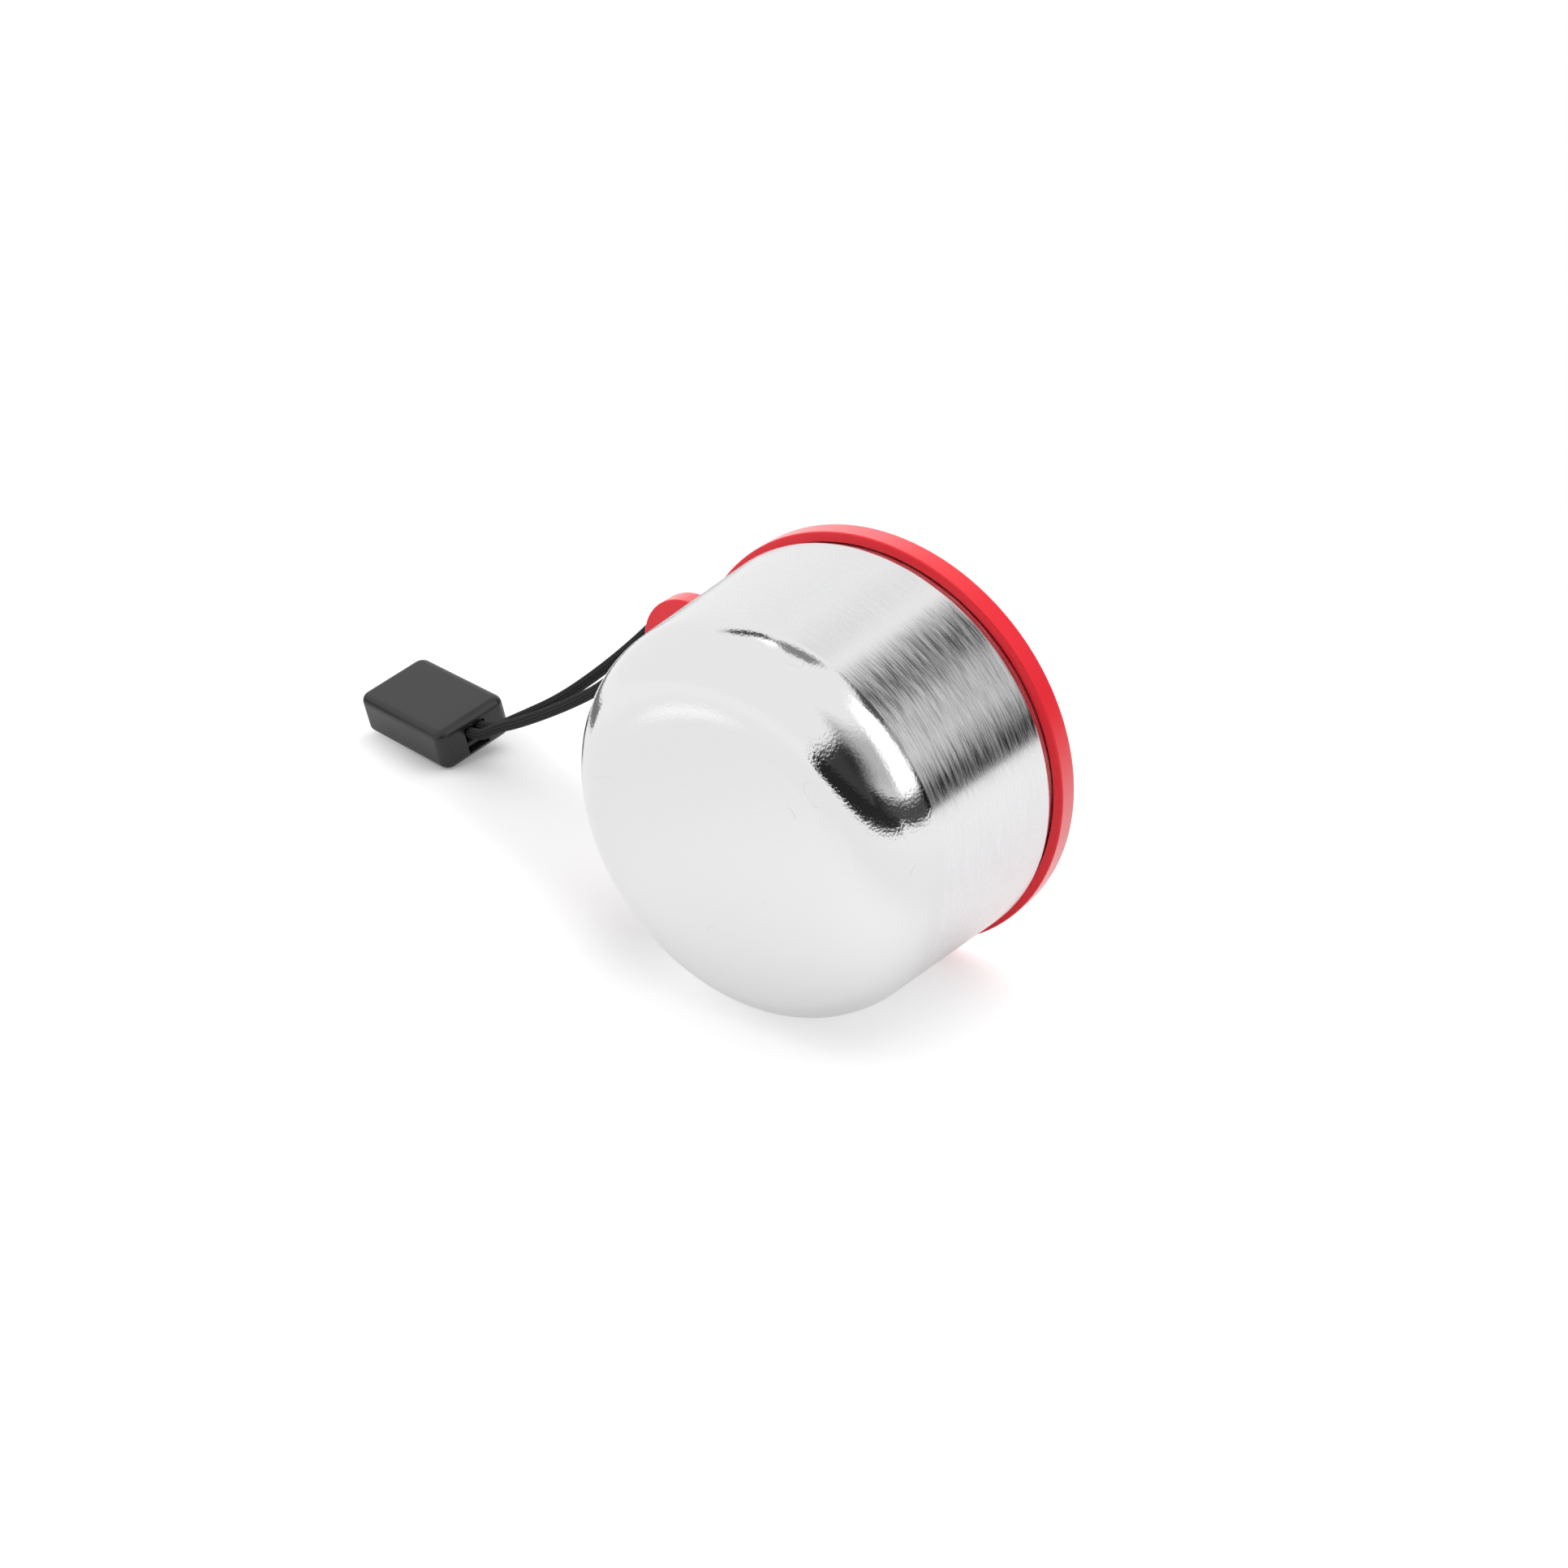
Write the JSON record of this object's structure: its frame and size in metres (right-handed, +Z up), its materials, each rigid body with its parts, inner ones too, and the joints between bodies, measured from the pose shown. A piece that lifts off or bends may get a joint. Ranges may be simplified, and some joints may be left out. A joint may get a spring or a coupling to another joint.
{
  "type": "lunch container",
  "caption": "Round drawn-steel lunch container lying on its side, with a press-on plastic lid whose ear carries a braided cord loop and a moulded tag.",
  "frame": {"origin": "on the floor, under the middle of the container and its lid without the cord and the tag", "axes": "+Z up; +Y level, from the container's base towards its lid; +X level, across the container, with the lid's ear, the cord and the tag on the -X side"},
  "size_m": [0.2152, 0.0879, 0.094],
  "materials": {
    "steel": "brushed round the wall, polished on the base and its corner",
    "lid_plastic": "satin",
    "gasket_rubber": "matt translucent",
    "cord_braid": "round braid",
    "tag_plastic": "fine matt grain"
  },
  "bodies": {
    "container": {"steel_body": "steel"},
    "lid": {"lid_shell": "lid_plastic", "lid_gasket": "gasket_rubber", "cord": "cord_braid", "tag_body": "tag_plastic", "tag_pin": "tag_plastic"}
  },
  "joints": [
    {"name": "lid_pull", "type": "slide", "parent": "container", "child": "lid", "axis": [0, 0.9958, 0.0914], "range_m": [0, 0.045]}
  ]
}
